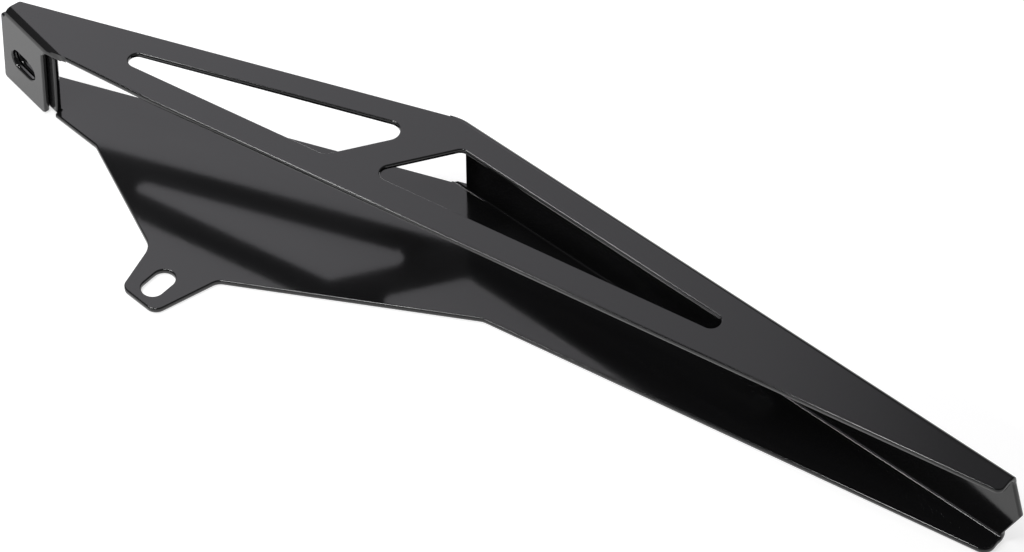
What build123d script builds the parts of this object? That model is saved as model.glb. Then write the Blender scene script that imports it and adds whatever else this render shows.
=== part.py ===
from build123d import *

import os

# Motorcycle chain guard: one laser-cut sheet, folded into a channel that tapers along the chain.
# Origin at the centre of the ear slot, on the underside of the lower plate. +X runs along the open
# edge of the channel, from the fastening tabs to the tail, +Y points to the closed side and +Z is up.
# Millimetres and degrees.

# Sheet and folds, which the edges at the tails leave square for the length of the run-out
sheet = 2.5
bend_inside = 0.8
run_out = 1.0
run_out_round = 1.5
edge_break = 0.5
height = 38.0

# Open edge of the channel, and the tails of both plates
open_edge_y = 49.5
lead_in_x = -34.0
lead_in_angle = 1.7
top_tail_x = 336.0
top_tail_round = 3.0
lower_tail_x = 331.7
lower_tail_round = 4.5

# Closed side: from the peak, the fold falls towards the tail and the free edge falls towards the tabs
peak_x = 72.8
peak_y = 104.8
fold_angle = 9.6
free_edge_angle = 11.85
web_start = -2.05
web_nose_reach = 3.8
web_nose_round = 2.0

# Triangular cut-outs of the top plate, either side of a strut
free_border = 10.4
fold_border = 13.0
front_open_border = 11.4
rear_open_border = 12.4
strut_foot_x = 25.3
strut_angle = 49.5
strut_width = 12.85
cutout_round = 3.5
strut_head_round = 5.0
strut_foot_round = 4.0
tail_tip_round = 3.85

# Fastening tabs, one from each plate, lying face to face
tab_corner_x = -81.85
tab_angle = 19.9
tab_end = 30.6
tab_gap = 0.25
tab_round = 1.5
outer_tab_near = 6.5
outer_tab_far = 33.2
outer_tab_foot_z = 0.2
outer_tab_shoulder_round = 0.8
inner_tab_near = 2.4
inner_tab_clearance = 3.5

# Slots for the fastening bolts
slot_width = 9.0
slot_length = 15.0
tab_slot_station = 19.6
tab_slot_z = 16.1

# Mounting ear of the lower plate, around its slot
ear_axis_angle = 82.3
ear_flare = 15.1
ear_half_width = 11.6
ear_end_reach = 11.0
ear_end_angle = -13.5
ear_round = 4.5
ear_front_root_round = 9.0
ear_rear_root_round = 5.0

# Lower plate between the tabs, the ear and the open edge
flank_x = -61.1
flank_y = 47.0
flank_tab_angle = -13.5
flank_ear_angle = -34.6
flank_round = 3.0
brace_foot_x = 112.8
brace_angle = 21.1
brace_round = 6.0
plate_corner_round = 1.5

bend_outside = bend_inside + sheet


def plan_line(point, angle):
    """Straight line in plan through a point, at an angle to +X."""
    return Axis(Vector(*point), Vector(1, 0, 0).rotate(Axis.Z, angle))


def beside(line, distance):
    """Parallel line, to the left of the given one by the distance."""
    return Axis(line.position + line.direction.rotate(Axis.Z, 90) * distance, line.direction)


def crossing(first, second):
    """Point where two plan lines cross."""
    point = first.intersect(second)
    return (point.X, point.Y)


def wall_plane(line):
    """Upright plane on a plan line: X along the line, Y up, Z to the right of the line."""
    return Plane(origin=line.position, x_dir=line.direction, z_dir=line.direction.rotate(Axis.Z, -90))


def station(wall, point):
    """Distance of a plan point along a wall."""
    return wall.to_local_coords(Vector(*point)).X


def plan_point(wall, along, inset):
    """Plan point at a distance along a wall and inside it."""
    point = wall.from_local_coords((along, 0, inset))
    return (point.X, point.Y)


def lies_on(plane, edge):
    """Whether both ends of an edge are on a plane."""
    return all(plane.contains(corner.center()) for corner in edge.vertices())


def free_edges(flat, wall, folds):
    """Edges of both faces of a flat stretch of sheet, apart from those on the planes of its folds."""
    rims = flat.group_by(Axis(wall.origin, wall.z_dir))
    return [edge for edge in rims[0] + rims[-1] if not any(lies_on(fold, edge) for fold in folds)]


# Edges of both plates in plan
open_edge = plan_line((0, open_edge_y), 0)
lead_in = plan_line((lead_in_x, open_edge_y), -lead_in_angle)
top_tail = plan_line((top_tail_x, open_edge_y), 90)
lower_tail = plan_line((lower_tail_x, open_edge_y), 90)
free_edge = plan_line((peak_x, peak_y), free_edge_angle)

# Outside faces of the walls, and the upright planes where their bends run out into the plates
web_line = plan_line((peak_x, peak_y), -fold_angle)
tab_line = plan_line((tab_corner_x, open_edge_y), 180 - tab_angle)
web = wall_plane(web_line)
outer_tab = wall_plane(tab_line)
inner_tab = outer_tab.offset(sheet + tab_gap)
web_fold = web.offset(bend_outside)
outer_tab_fold = outer_tab.offset(bend_outside)
inner_tab_fold = inner_tab.offset(bend_outside)
web_fold_line = Axis(web_fold.origin, web_fold.x_dir)
outer_tab_fold_line = Axis(outer_tab_fold.origin, outer_tab_fold.x_dir)
inner_tab_fold_line = Axis(inner_tab_fold.origin, inner_tab_fold.x_dir)
tab_end_line = Axis(outer_tab.from_local_coords((tab_end, 0, 0)), outer_tab.z_dir)

# Level planes where the bends run out into the walls
lower_fold = Plane.XY.offset(bend_outside)
upper_fold = Plane.XY.offset(height - bend_outside)

# Ends of the web, where both tails turn square to its fold
run_out_line = beside(web_line, -bend_outside - run_out)
upper_web_end = station(web, crossing(top_tail, run_out_line))
lower_web_end = station(web, crossing(lower_tail, run_out_line))

# Outline of the top plate, each point with its corner radius
top_outline = [
    (crossing(lead_in, outer_tab_fold_line), 0),
    ((lead_in_x, open_edge_y), 0),
    ((top_tail_x, open_edge_y), top_tail_round),
    (crossing(top_tail, run_out_line), run_out_round),
    (plan_point(web, upper_web_end, bend_outside), 0),
    (crossing(web_fold_line, free_edge), 0),
    (crossing(free_edge, tab_end_line), plate_corner_round),
    (crossing(tab_end_line, outer_tab_fold_line), 0),
]

# Cut-outs, each bounded by borders along the plate's edges and by one side of the strut, with radii
strut_front = plan_line((strut_foot_x, open_edge_y), strut_angle)
strut_rear = beside(strut_front, -strut_width)
free_side = beside(free_edge, -free_border)
fold_side = beside(web_line, -fold_border)
front_open_side = beside(open_edge, front_open_border)
rear_open_side = beside(open_edge, rear_open_border)
front_cutout = [
    (crossing(front_open_side, free_side), cutout_round),
    (crossing(front_open_side, strut_front), cutout_round),
    (crossing(strut_front, free_side), strut_head_round),
]
rear_cutout = [
    (crossing(strut_rear, rear_open_side), strut_foot_round),
    (crossing(rear_open_side, fold_side), tail_tip_round),
    (crossing(fold_side, strut_rear), cutout_round),
]

# Ear sides, spread from its axis by the flare, and its end
ear_front = beside(plan_line((0, 0), ear_axis_angle + ear_flare), ear_half_width)
ear_rear = beside(plan_line((0, 0), ear_axis_angle - ear_flare), -ear_half_width)
ear_end = beside(plan_line((0, 0), ear_end_angle), -ear_end_reach)
brace = plan_line((brace_foot_x, open_edge_y), brace_angle)
flank_tab = plan_line((flank_x, flank_y), flank_tab_angle)
flank_ear = plan_line((flank_x, flank_y), flank_ear_angle)
near_side = Axis(inner_tab.from_local_coords((inner_tab_near, 0, 0)), inner_tab.z_dir)
near_end = Plane(origin=near_side.position, x_dir=inner_tab.z_dir, z_dir=inner_tab.x_dir)

# Outline of the lower plate, each point with its corner radius
lower_outline = [
    (plan_point(inner_tab, inner_tab_near, bend_outside), 0),
    (crossing(near_side, flank_tab), 0),
    ((flank_x, flank_y), flank_round),
    (crossing(flank_ear, ear_front), ear_front_root_round),
    (crossing(ear_front, ear_end), ear_round),
    (crossing(ear_end, ear_rear), ear_round),
    (crossing(ear_rear, brace), ear_rear_root_round),
    ((brace_foot_x, open_edge_y), brace_round),
    ((lower_tail_x, open_edge_y), lower_tail_round),
    (crossing(lower_tail, run_out_line), run_out_round),
    (plan_point(web, lower_web_end, bend_outside), 0),
    (crossing(web_fold_line, free_edge), 0),
    (crossing(free_edge, tab_end_line), plate_corner_round),
    (crossing(tab_end_line, inner_tab_fold_line), 0),
]

# Levels between which the walls' own outlines begin, past their bends
wall_foot = bend_outside + run_out
wall_top = height - bend_outside - run_out

# Outline of the web along its fold and up, with a nose between the two tails
web_outline = [
    ((web_start, bend_outside), 0),
    ((lower_web_end, bend_outside), 0),
    ((lower_web_end, wall_foot), run_out_round),
    ((upper_web_end + web_nose_reach, height / 2), web_nose_round),
    ((upper_web_end, wall_top), run_out_round),
    ((upper_web_end, height - bend_outside), 0),
    ((web_start, height - bend_outside), 0),
]

# Outlines of the tabs along their fold and up
lead_in_station = station(outer_tab, crossing(lead_in, tab_line))
outer_tab_outline = [
    ((lead_in_station, height - bend_outside), 0),
    ((lead_in_station, wall_top), run_out_round),
    ((outer_tab_near, wall_top - (outer_tab_near - lead_in_station)), run_out_round),
    ((outer_tab_near, outer_tab_foot_z), tab_round),
    ((outer_tab_far, outer_tab_foot_z), tab_round),
    ((outer_tab_far, wall_top), outer_tab_shoulder_round),
    ((tab_end, wall_top), outer_tab_shoulder_round),
    ((tab_end, height - bend_outside), 0),
]
inner_tab_top = height - sheet - inner_tab_clearance
inner_tab_outline = [
    ((inner_tab_near, bend_outside), 0),
    ((tab_end, bend_outside), 0),
    ((tab_end, inner_tab_top), tab_round),
    ((inner_tab_near, inner_tab_top), tab_round),
]

# Flat stretches: plane of the outside face or underside, outline, cut-outs, slots and the folds around it
tab_slot = Location((tab_slot_station, tab_slot_z), 0)
ear_slot = Location((0, 0), ear_axis_angle)
top = Plane.XY.offset(height - sheet)
flats = [
    (top, top_outline, [front_cutout, rear_cutout], [], [web_fold, outer_tab_fold]),
    (Plane.XY, lower_outline, [], [ear_slot], [web_fold, inner_tab_fold, near_end]),
    (web, web_outline, [], [], [lower_fold, upper_fold]),
    (outer_tab, outer_tab_outline, [], [tab_slot], [upper_fold]),
    (inner_tab, inner_tab_outline, [], [tab_slot], [lower_fold]),
]

# Bends: wall, its first and last station, and whether it hangs from the top plate. Where an edge of
# the plates crosses a fold at a slant, the bend starts outside it and is trimmed to it.
peak_start = station(web, crossing(free_edge, web_fold_line)) - sheet
lead_in_start = station(outer_tab, crossing(lead_in, outer_tab_fold_line)) - sheet
bends = [
    (web, peak_start, upper_web_end, True),
    (web, peak_start, lower_web_end, False),
    (outer_tab, lead_in_start, tab_end, True),
    (inner_tab, inner_tab_near, tab_end, False),
]
free_edge_trim = [
    crossing(free_edge, web_fold_line),
    crossing(free_edge, web_line),
    plan_point(web, peak_start - sheet, 0),
    plan_point(web, peak_start - sheet, bend_outside),
]
lead_in_trim = [
    crossing(lead_in, outer_tab_fold_line),
    crossing(lead_in, tab_line),
    plan_point(outer_tab, lead_in_start - sheet, 0),
    plan_point(outer_tab, lead_in_start - sheet, bend_outside),
]
trims = [(upper_fold, free_edge_trim), (Plane.XY, free_edge_trim), (upper_fold, lead_in_trim)]

with BuildPart() as chain_guard:
    for plane, outline, cutouts, slots, folds in flats:
        with BuildSketch(plane):
            for ring in [outline, *cutouts]:
                with BuildLine():
                    points, corners = zip(*ring)
                    FilletPolyline(*points, radius=corners, close=True)
                make_face(mode=Mode.ADD if ring is outline else Mode.SUBTRACT)
            if slots:
                with Locations(*slots):
                    SlotOverall(slot_length, slot_width, mode=Mode.SUBTRACT)
        extrude(amount=sheet)
        chamfer(free_edges(edges(Select.LAST), plane, folds), edge_break)
    for wall, first, last, hangs in bends:
        section_level = height - sheet / 2 if hangs else sheet / 2
        axis_level = height - bend_outside if hangs else bend_outside
        with BuildSketch(wall.offset(bend_outside)):
            with Locations(((first + last) / 2, section_level)):
                Rectangle(last - first, sheet)
            chamfer(vertices().group_by(Axis.X)[-1], edge_break)
        bend_axis = Axis(wall.from_local_coords((0, axis_level, bend_outside)), wall.x_dir)
        revolve(axis=bend_axis, revolution_arc=-90 if hangs else 90)
    for plane, trim in trims:
        with BuildSketch(plane):
            with BuildLine():
                Polyline(*trim, close=True)
            make_face()
        extrude(amount=bend_outside, mode=Mode.SUBTRACT)

chain_guard.part.label = "chain_guard"
os.makedirs("parts", exist_ok=True)
export_step(chain_guard.part, "parts/chain_guard.step")
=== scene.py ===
"""Looks of a motorcycle chain guard, a folded sheet under a glossy black coat, on a stage."""

import math

import bmesh
import bpy
from bpy.props import FloatProperty, FloatVectorProperty, PointerProperty
from mathutils import Matrix, Vector


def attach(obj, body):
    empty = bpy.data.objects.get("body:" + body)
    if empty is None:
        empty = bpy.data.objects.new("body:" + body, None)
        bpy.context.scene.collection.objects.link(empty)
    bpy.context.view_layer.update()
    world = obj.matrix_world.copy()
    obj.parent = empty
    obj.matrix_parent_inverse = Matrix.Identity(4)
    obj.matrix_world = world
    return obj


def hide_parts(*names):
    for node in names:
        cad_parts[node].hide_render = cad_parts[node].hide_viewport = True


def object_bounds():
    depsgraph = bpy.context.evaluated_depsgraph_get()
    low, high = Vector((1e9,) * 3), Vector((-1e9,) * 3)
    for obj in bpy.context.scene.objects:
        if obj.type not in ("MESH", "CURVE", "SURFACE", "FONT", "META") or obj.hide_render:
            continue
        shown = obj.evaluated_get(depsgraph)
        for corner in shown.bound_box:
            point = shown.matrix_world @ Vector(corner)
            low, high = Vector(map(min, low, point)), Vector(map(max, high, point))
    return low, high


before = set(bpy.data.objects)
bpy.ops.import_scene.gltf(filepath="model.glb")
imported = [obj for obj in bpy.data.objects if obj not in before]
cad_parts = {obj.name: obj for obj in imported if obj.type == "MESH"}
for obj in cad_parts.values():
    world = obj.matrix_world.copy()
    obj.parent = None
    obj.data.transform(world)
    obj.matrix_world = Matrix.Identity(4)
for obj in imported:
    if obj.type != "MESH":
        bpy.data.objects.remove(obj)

bl_info = {
    "name": "Chain guard looks",
    "version": (1, 0, 0),
    "blender": (4, 5, 0),
    "location": "View3D > Sidebar > Chain guard",
    "description": "Coats a folded chain guard and sets its studio stage",
    "category": "Object",
}

CAD_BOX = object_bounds()
GUARD_NODE = "chain_guard"

# Folds of the sheet: bend radii in metres, and the outside face of each wall in plan, as a point in
# metres and an angle in degrees. The inner tab lies inside the outer one by the pitch.
BEND_OUTSIDE = 0.0033
BEND_INSIDE = 0.0008
WEB_FOLD = ((0.0728, 0.1048), -9.6)
TAB_FOLD = ((-0.08185, 0.0495), 160.1)
TAB_PITCH = 0.00275

# Gaps in metres within which corners are joined or lie on a bend, angles within which faces make
# a flat stretch or the coat rolls over an edge, and the width up to which a stretch is an edge
WELD_GAP = 1e-6
BEND_GAP = 2e-5
FLAT_ANGLE = math.radians(0.5)
ROLL_ANGLE = math.radians(50.0)
NARROW_WIDTH = 0.003

# Coat: index of refraction, patches of even gloss in a metre, the part of the noise that carries
# the change of gloss, and the finer steps in the noise of the patches and of the orange peel
COAT_IOR = 1.5
GLOSS_PATCHES = 18.0
GLOSS_NOISE_RANGE = (0.3, 0.7)
GLOSS_DETAIL = 3.0
PEEL_DETAIL = 1.0

# Floor, in metres, with its grey and its own glow for the camera and for mirror images
FLOOR_WIDTH = 12.0
FLOOR_GAP = 0.0002
FLOOR_GREY = 0.5
FLOOR_GLOW = 0.7

# Soft panel: distance from the guard and length of its fade along the guard in metres, stops of the
# fade with the share of light left, and tint
PANEL_REACH = 0.9
FADE_SPAN = 0.5
FADE_STOPS = ((0.0, 1.0), (0.78, 0.56), (0.9, 0.38), (1.0, 0.18))
PANEL_TINT = (1.0, 0.985, 1.035)

SENSOR_WIDTH_MM = 36.0
VIEW_LIMIT = 100.0


class CoatSettings(bpy.types.PropertyGroup):
    """Finish of the powder coat"""

    colour: FloatVectorProperty(
        name="Coat colour",
        description="Colour of the coat itself, under its gloss",
        subtype="COLOR",
        default=(0.008, 0.008, 0.0085),
    )
    roughness: FloatProperty(
        name="Roughness",
        description="Roughness of the coat on its smooth stretches",
        default=0.11,
        min=0.0,
        max=1.0,
        subtype="FACTOR",
    )
    flow: FloatProperty(
        name="Flow",
        description="Change of roughness where the coat flowed out less evenly",
        default=0.03,
        min=0.0,
        max=0.5,
        subtype="FACTOR",
    )
    peel_size: FloatProperty(
        name="Peel size",
        description="Width of one dimple of the coat's orange peel",
        default=0.0022,
        unit="LENGTH",
    )
    peel_depth: FloatProperty(
        name="Peel depth",
        description="Depth of the coat's orange peel",
        default=0.000004,
        unit="LENGTH",
    )


class StageSettings(bpy.types.PropertyGroup):
    """Floor, light and camera around the guard"""

    target: FloatVectorProperty(
        name="Camera target",
        description="Point on the floor at the middle of the picture",
        subtype="XYZ",
        unit="LENGTH",
        default=(0.1088, 0.0755, 0.0),
    )
    azimuth: FloatProperty(
        name="Azimuth",
        description="Turn of the camera round the guard, from the open edge towards the tail",
        subtype="ANGLE",
        default=math.radians(33.656),
    )
    elevation: FloatProperty(
        name="Elevation",
        description="Height of the camera above the horizon",
        subtype="ANGLE",
        default=math.radians(46.5),
    )
    roll: FloatProperty(
        name="Roll",
        description="Clockwise turn of the camera about its own line of sight",
        subtype="ANGLE",
        default=math.radians(1.0173),
    )
    distance: FloatProperty(
        name="Distance",
        description="Distance from the camera to its target",
        unit="LENGTH",
        default=3.371,
    )
    focal_length: FloatProperty(
        name="Focal length",
        description="Long lens, which keeps the picture almost free of perspective",
        unit="CAMERA",
        default=316.4,
    )
    panel_size: FloatVectorProperty(
        name="Panel size",
        description="Width of the soft panel along the guard and across it",
        size=2,
        unit="LENGTH",
        default=(1.4, 0.96),
    )
    panel_slant: FloatProperty(
        name="Panel slant",
        description="Distance by which the low edge of the soft panel stops short at the tail end",
        unit="LENGTH",
        default=0.9,
    )
    panel_drop: FloatProperty(
        name="Panel drop",
        description="Distance that the soft panel reaches further down behind the guard than up",
        unit="LENGTH",
        default=0.27,
    )
    panel_strength: FloatProperty(
        name="Panel strength",
        description="Brightness of the soft panel that the plates mirror",
        default=1.66,
    )
    front_lamp: FloatVectorProperty(
        name="Front lamp",
        description="Place of the lamp that the edges beside the cut-outs mirror",
        subtype="XYZ",
        unit="LENGTH",
        default=(-0.34, 0.04, 0.84),
    )
    front_lamp_size: FloatVectorProperty(
        name="Front lamp size",
        description="Width of the front lamp along the guard and across it",
        size=2,
        unit="LENGTH",
        default=(0.16, 0.2),
    )
    tail_lamp: FloatVectorProperty(
        name="Tail lamp",
        description="Place of the lamp that the edges near the tail mirror",
        subtype="XYZ",
        unit="LENGTH",
        default=(0.01, -0.28, 0.84),
    )
    tail_lamp_size: FloatVectorProperty(
        name="Tail lamp size",
        description="Width of the tail lamp along the guard and across it",
        size=2,
        unit="LENGTH",
        default=(0.08, 0.32),
    )
    low_lamp: FloatVectorProperty(
        name="Low lamp",
        description="Place of the lamp that the lower inside bend mirrors near the tail",
        subtype="XYZ",
        unit="LENGTH",
        default=(-0.27, -0.63, 0.6),
    )
    low_lamp_size: FloatVectorProperty(
        name="Low lamp size",
        description="Width of the low lamp along the guard and across it",
        size=2,
        unit="LENGTH",
        default=(0.2, 0.24),
    )
    lamp_brightness: FloatProperty(
        name="Lamp brightness",
        description="Brightness of the face of each lamp",
        default=30.0,
    )
    room_strength: FloatProperty(
        name="Room strength",
        description="Brightness of the room around the stage",
        default=0.12,
    )


def bare_material(name):
    """Material with nothing but its output, with its node tree and that output."""
    material = bpy.data.materials.new(name)
    material.use_nodes = True
    tree = material.node_tree
    tree.nodes.clear()
    return material, tree, tree.nodes.new("ShaderNodeOutputMaterial")


def coat_material(coat):
    """Glossy black powder coat, with faint orange peel and gloss that varies a little."""
    material, tree, output = bare_material("black_powder_coat")
    shader = tree.nodes.new("ShaderNodeBsdfPrincipled")
    shader.inputs["Base Color"].default_value = (*coat.colour, 1.0)
    shader.inputs["IOR"].default_value = COAT_IOR
    tree.links.new(shader.outputs["BSDF"], output.inputs["Surface"])
    place = tree.nodes.new("ShaderNodeTexCoord")

    patches = tree.nodes.new("ShaderNodeTexNoise")
    patches.inputs["Scale"].default_value = GLOSS_PATCHES
    patches.inputs["Detail"].default_value = GLOSS_DETAIL
    tree.links.new(place.outputs["Object"], patches.inputs["Vector"])
    gloss = tree.nodes.new("ShaderNodeMapRange")
    gloss.inputs["From Min"].default_value = GLOSS_NOISE_RANGE[0]
    gloss.inputs["From Max"].default_value = GLOSS_NOISE_RANGE[1]
    gloss.inputs["To Min"].default_value = coat.roughness - coat.flow / 2
    gloss.inputs["To Max"].default_value = coat.roughness + coat.flow / 2
    tree.links.new(patches.outputs["Fac"], gloss.inputs["Value"])
    tree.links.new(gloss.outputs["Result"], shader.inputs["Roughness"])

    dimples = tree.nodes.new("ShaderNodeTexNoise")
    dimples.inputs["Scale"].default_value = 1.0 / coat.peel_size
    dimples.inputs["Detail"].default_value = PEEL_DETAIL
    tree.links.new(place.outputs["Object"], dimples.inputs["Vector"])
    peel = tree.nodes.new("ShaderNodeBump")
    peel.inputs["Strength"].default_value = 1.0
    peel.inputs["Distance"].default_value = coat.peel_depth
    tree.links.new(dimples.outputs["Fac"], peel.inputs["Height"])
    tree.links.new(peel.outputs["Normal"], shader.inputs["Normal"])
    return material


def flat_stretches(shape):
    """Number of the flat stretch that each face belongs to, and whether each stretch is wide."""
    number = {}
    wide = []
    for first in shape.faces:
        if first in number:
            continue
        stretch = [first]
        number[first] = len(wide)
        for face in stretch:
            for other in (other for edge in face.edges for other in edge.link_faces):
                level = other.normal.angle(first.normal, math.pi) < FLAT_ANGLE
                if level and other not in number:
                    stretch.append(other)
                    number[other] = len(wide)
        points = [vert.co for face in stretch for vert in face.verts]
        reach = Vector(max(axis) - min(axis) for axis in zip(*points)).length
        wide.append(sum(face.calc_area() for face in stretch) > NARROW_WIDTH * reach)
    return number, wide


def bend_axes():
    """Axes of the four bends, each as a point and a direction."""
    low = CAD_BOX[0].z + BEND_OUTSIDE
    high = CAD_BOX[1].z - BEND_OUTSIDE
    bends = (
        (WEB_FOLD, 0.0, high),
        (WEB_FOLD, 0.0, low),
        (TAB_FOLD, 0.0, high),
        (TAB_FOLD, TAB_PITCH, low),
    )
    axes = []
    for (point, angle), inset, level in bends:
        turn = math.radians(angle)
        along = Vector((math.cos(turn), math.sin(turn), 0.0))
        inward = Vector((along.y, -along.x, 0.0))
        centre = Vector((*point, level)) + inward * (inset + BEND_OUTSIDE)
        axes.append((centre, along))
    return axes


def bend_normals(face, axes):
    """Normals of a face's corners where it lies on a bend, and nothing where it doesn't."""
    for centre, along in axes:
        arms = [corner.vert.co - centre for corner in face.loops]
        arms = [arm - along * arm.dot(along) for arm in arms]
        for radius, side in ((BEND_OUTSIDE, 1.0), (BEND_INSIDE, -1.0)):
            if all(abs(arm.length - radius) < BEND_GAP for arm in arms):
                return [arm.normalized() * side for arm in arms]
    return None


def rolled_normals(shape):
    """Normals of all face corners: flat on wide stretches, round on bends, rolled on cut edges."""
    number, wide = flat_stretches(shape)
    axes = bend_axes()
    normals = []
    for face in shape.faces:
        round_normals = bend_normals(face, axes)
        if round_normals:
            normals.extend(round_normals)
            continue
        for corner in face.loops:
            near = {}
            for other in corner.vert.link_faces:
                if other.normal.angle(face.normal, math.pi) < ROLL_ANGLE:
                    near[number[other]] = other.normal
            flats = [normal for stretch, normal in near.items() if wide[stretch]]
            normals.append(sum(flats or near.values(), Vector()).normalized())
    return normals


def merged_copy(source, name):
    """Copy of a solid's mesh with its triangles joined, shaded as a coat that rolls over edges."""
    mesh = bpy.data.meshes.new(name)
    shape = bmesh.new()
    shape.from_mesh(source.data)
    bmesh.ops.remove_doubles(shape, verts=shape.verts, dist=WELD_GAP)
    for face in shape.faces:
        face.smooth = True
    normals = rolled_normals(shape)
    shape.to_mesh(mesh)
    shape.free()
    mesh.normals_split_custom_set(normals)
    piece = bpy.data.objects.new(name, mesh)
    bpy.context.scene.collection.objects.link(piece)
    return piece


class CHAINGUARD_OT_coat(bpy.types.Operator):
    """Coats the folded sheet"""

    bl_idname = "chainguard.coat"
    bl_label = "Coat the sheet"

    def execute(self, context):
        guard = merged_copy(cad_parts[GUARD_NODE], "coated_chain_guard")
        guard.data.materials.clear()
        guard.data.materials.append(coat_material(context.scene.chainguard_coat))
        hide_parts(GUARD_NODE)
        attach(guard, "root")
        return {"FINISHED"}


def add_square(name, width):
    """Level square around the origin."""
    mesh = bpy.data.meshes.new(name)
    shape = bmesh.new()
    bmesh.ops.create_grid(shape, x_segments=1, y_segments=1, size=width / 2)
    shape.to_mesh(mesh)
    shape.free()
    square = bpy.data.objects.new(name, mesh)
    bpy.context.scene.collection.objects.link(square)
    return square


def floor_material():
    """White paint with a glow of its own, which only the camera and mirror images see."""
    material, tree, output = bare_material("white_floor")
    paint = tree.nodes.new("ShaderNodeBsdfDiffuse")
    paint.inputs["Color"].default_value = (FLOOR_GREY, FLOOR_GREY, FLOOR_GREY, 1.0)
    glow = tree.nodes.new("ShaderNodeEmission")
    glow.inputs["Color"].default_value = (1.0, 1.0, 1.0, 1.0)
    rays = tree.nodes.new("ShaderNodeLightPath")
    seen = tree.nodes.new("ShaderNodeMath")
    seen.operation = "MAXIMUM"
    tree.links.new(rays.outputs["Is Camera Ray"], seen.inputs[0])
    tree.links.new(rays.outputs["Is Glossy Ray"], seen.inputs[1])
    level = tree.nodes.new("ShaderNodeMath")
    level.operation = "MULTIPLY"
    level.inputs[1].default_value = FLOOR_GLOW
    tree.links.new(seen.outputs["Value"], level.inputs[0])
    tree.links.new(level.outputs["Value"], glow.inputs["Strength"])
    both = tree.nodes.new("ShaderNodeAddShader")
    tree.links.new(paint.outputs["BSDF"], both.inputs[0])
    tree.links.new(glow.outputs["Emission"], both.inputs[1])
    tree.links.new(both.outputs["Shader"], output.inputs["Surface"])
    return material


def add_floor():
    """White floor that shows the guard's soft shadow."""
    floor = add_square("floor", FLOOR_WIDTH)
    floor.location = (0.0, 0.0, CAD_BOX[0].z - FLOOR_GAP)
    floor.data.materials.append(floor_material())


def panel_material(strength):
    """Light of the soft panel, which fades along the guard towards the tail."""
    material, tree, output = bare_material("panel_light")
    place = tree.nodes.new("ShaderNodeTexCoord")
    split = tree.nodes.new("ShaderNodeSeparateXYZ")
    tree.links.new(place.outputs["Object"], split.inputs["Vector"])
    span = tree.nodes.new("ShaderNodeMapRange")
    span.inputs["From Min"].default_value = -FADE_SPAN / 2
    span.inputs["From Max"].default_value = FADE_SPAN / 2
    tree.links.new(split.outputs["X"], span.inputs["Value"])
    fade = tree.nodes.new("ShaderNodeValToRGB")
    stops = fade.color_ramp.elements
    for position, _ in FADE_STOPS[1:-1]:
        stops.new(position)
    for stop, (position, share) in zip(stops, FADE_STOPS):
        stop.position = position
        stop.color = (*(share * tint for tint in PANEL_TINT), 1.0)
    tree.links.new(span.outputs["Result"], fade.inputs["Fac"])
    glow = tree.nodes.new("ShaderNodeEmission")
    glow.inputs["Strength"].default_value = strength
    tree.links.new(fade.outputs["Color"], glow.inputs["Color"])
    tree.links.new(glow.outputs["Emission"], output.inputs["Surface"])
    return material


def add_panel(stage, mirrored):
    """Large soft panel that both plates mirror. Its low edge, behind the guard, runs at a slant."""
    panel = add_square("panel", 1.0)
    width, depth = stage.panel_size
    for corner in panel.data.vertices:
        short = stage.panel_slant if corner.co.x > 0.0 and corner.co.y > 0.0 else 0.0
        corner.co.x = corner.co.x * width - short
        corner.co.y = corner.co.y * depth + stage.panel_drop
    across = Vector((1.0, 0.0, 0.0)) - mirrored * mirrored.x
    across.normalize()
    along = mirrored.cross(across)
    turn = Matrix((across, along, mirrored)).transposed().to_4x4()
    turn.translation = (CAD_BOX[0] + CAD_BOX[1]) / 2 + mirrored * PANEL_REACH
    panel.matrix_world = turn
    panel.visible_camera = False
    panel.visible_shadow = False
    panel.data.materials.append(panel_material(stage.panel_strength))


def add_lamp(name, place, size, brightness):
    """Small bright lamp, which the broken edges and the inside of a bend mirror as fine lines."""
    data = bpy.data.lights.new(name, "AREA")
    data.shape = "RECTANGLE"
    data.size, data.size_y = size
    data.energy = brightness * math.pi * data.size * data.size_y
    lamp = bpy.data.objects.new(name, data)
    lamp.location = place
    bpy.context.scene.collection.objects.link(lamp)


def add_room(stage):
    """Dim room that the camera sees as plain white."""
    world = bpy.data.worlds.new("room")
    bpy.context.scene.world = world
    world.use_nodes = True
    tree = world.node_tree
    background = tree.nodes["Background"]
    background.inputs["Color"].default_value = (1.0, 1.0, 1.0, 1.0)
    rays = tree.nodes.new("ShaderNodeLightPath")
    level = tree.nodes.new("ShaderNodeMapRange")
    level.inputs["To Min"].default_value = stage.room_strength
    level.inputs["To Max"].default_value = 1.0
    tree.links.new(rays.outputs["Is Camera Ray"], level.inputs["Value"])
    tree.links.new(level.outputs["Result"], background.inputs["Strength"])


def add_camera(stage, right, up, back):
    """Camera with a long lens, at the angle of the picture."""
    data = bpy.data.cameras.new("camera")
    data.sensor_width = SENSOR_WIDTH_MM
    data.lens = stage.focal_length
    data.clip_end = VIEW_LIMIT
    camera = bpy.data.objects.new("camera", data)
    across = right * math.cos(stage.roll) - up * math.sin(stage.roll)
    upward = right * math.sin(stage.roll) + up * math.cos(stage.roll)
    turn = Matrix((across, upward, back)).transposed().to_4x4()
    turn.translation = Vector(stage.target) + back * stage.distance
    camera.matrix_world = turn
    bpy.context.scene.collection.objects.link(camera)
    bpy.context.scene.camera = camera


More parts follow.
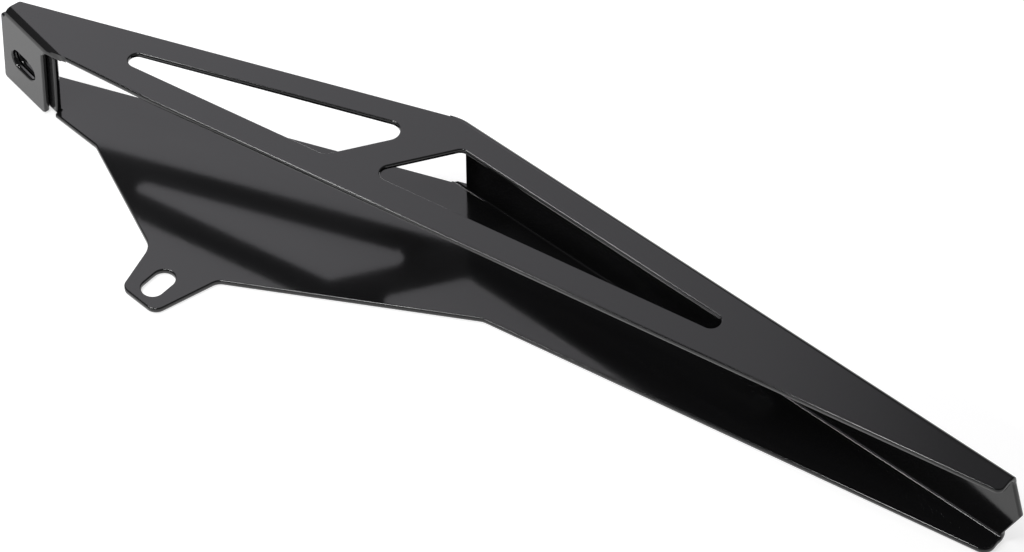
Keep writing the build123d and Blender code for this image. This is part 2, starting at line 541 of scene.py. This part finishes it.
class CHAINGUARD_OT_stage(bpy.types.Operator):
    """Sets the floor, the light and the camera"""

    bl_idname = "chainguard.stage"
    bl_label = "Set the stage"

    def execute(self, context):
        stage = context.scene.chainguard_stage
        right = Vector((math.cos(stage.azimuth), math.sin(stage.azimuth), 0.0))
        back = Vector((right.y, -right.x, 0.0)) * math.cos(stage.elevation)
        back.z = math.sin(stage.elevation)
        up = back.cross(right)
        mirrored = Vector((-back.x, -back.y, back.z))
        add_floor()
        add_panel(stage, mirrored)
        add_lamp("front_lamp", stage.front_lamp, stage.front_lamp_size, stage.lamp_brightness)
        add_lamp("tail_lamp", stage.tail_lamp, stage.tail_lamp_size, stage.lamp_brightness)
        add_lamp("low_lamp", stage.low_lamp, stage.low_lamp_size, stage.lamp_brightness)
        add_room(stage)
        add_camera(stage, right, up, back)
        context.scene.view_settings.view_transform = "Standard"
        return {"FINISHED"}


class CHAINGUARD_PT_looks(bpy.types.Panel):
    """Finish and stage of the chain guard"""

    bl_idname = "CHAINGUARD_PT_looks"
    bl_label = "Chain guard"
    bl_space_type = "VIEW_3D"
    bl_region_type = "UI"
    bl_category = "Chain guard"

    def draw(self, context):
        for settings, operator in (
            (context.scene.chainguard_coat, CHAINGUARD_OT_coat),
            (context.scene.chainguard_stage, CHAINGUARD_OT_stage),
        ):
            box = self.layout.box()
            for name in settings.__annotations__:
                box.prop(settings, name)
            box.operator(operator.bl_idname)


CLASSES = (
    CoatSettings,
    StageSettings,
    CHAINGUARD_OT_coat,
    CHAINGUARD_OT_stage,
    CHAINGUARD_PT_looks,
)


def register():
    """Makes the settings, operators and panel known."""
    for each in CLASSES:
        bpy.utils.register_class(each)
    bpy.types.Scene.chainguard_coat = PointerProperty(type=CoatSettings)
    bpy.types.Scene.chainguard_stage = PointerProperty(type=StageSettings)


def unregister():
    """Takes the settings, operators and panel out again."""
    del bpy.types.Scene.chainguard_stage
    del bpy.types.Scene.chainguard_coat
    for each in reversed(CLASSES):
        bpy.utils.unregister_class(each)


def main():
    """Builds the looks."""
    register()
    bpy.ops.chainguard.coat()
    bpy.ops.chainguard.stage()


if __name__ == "__main__":
    main()
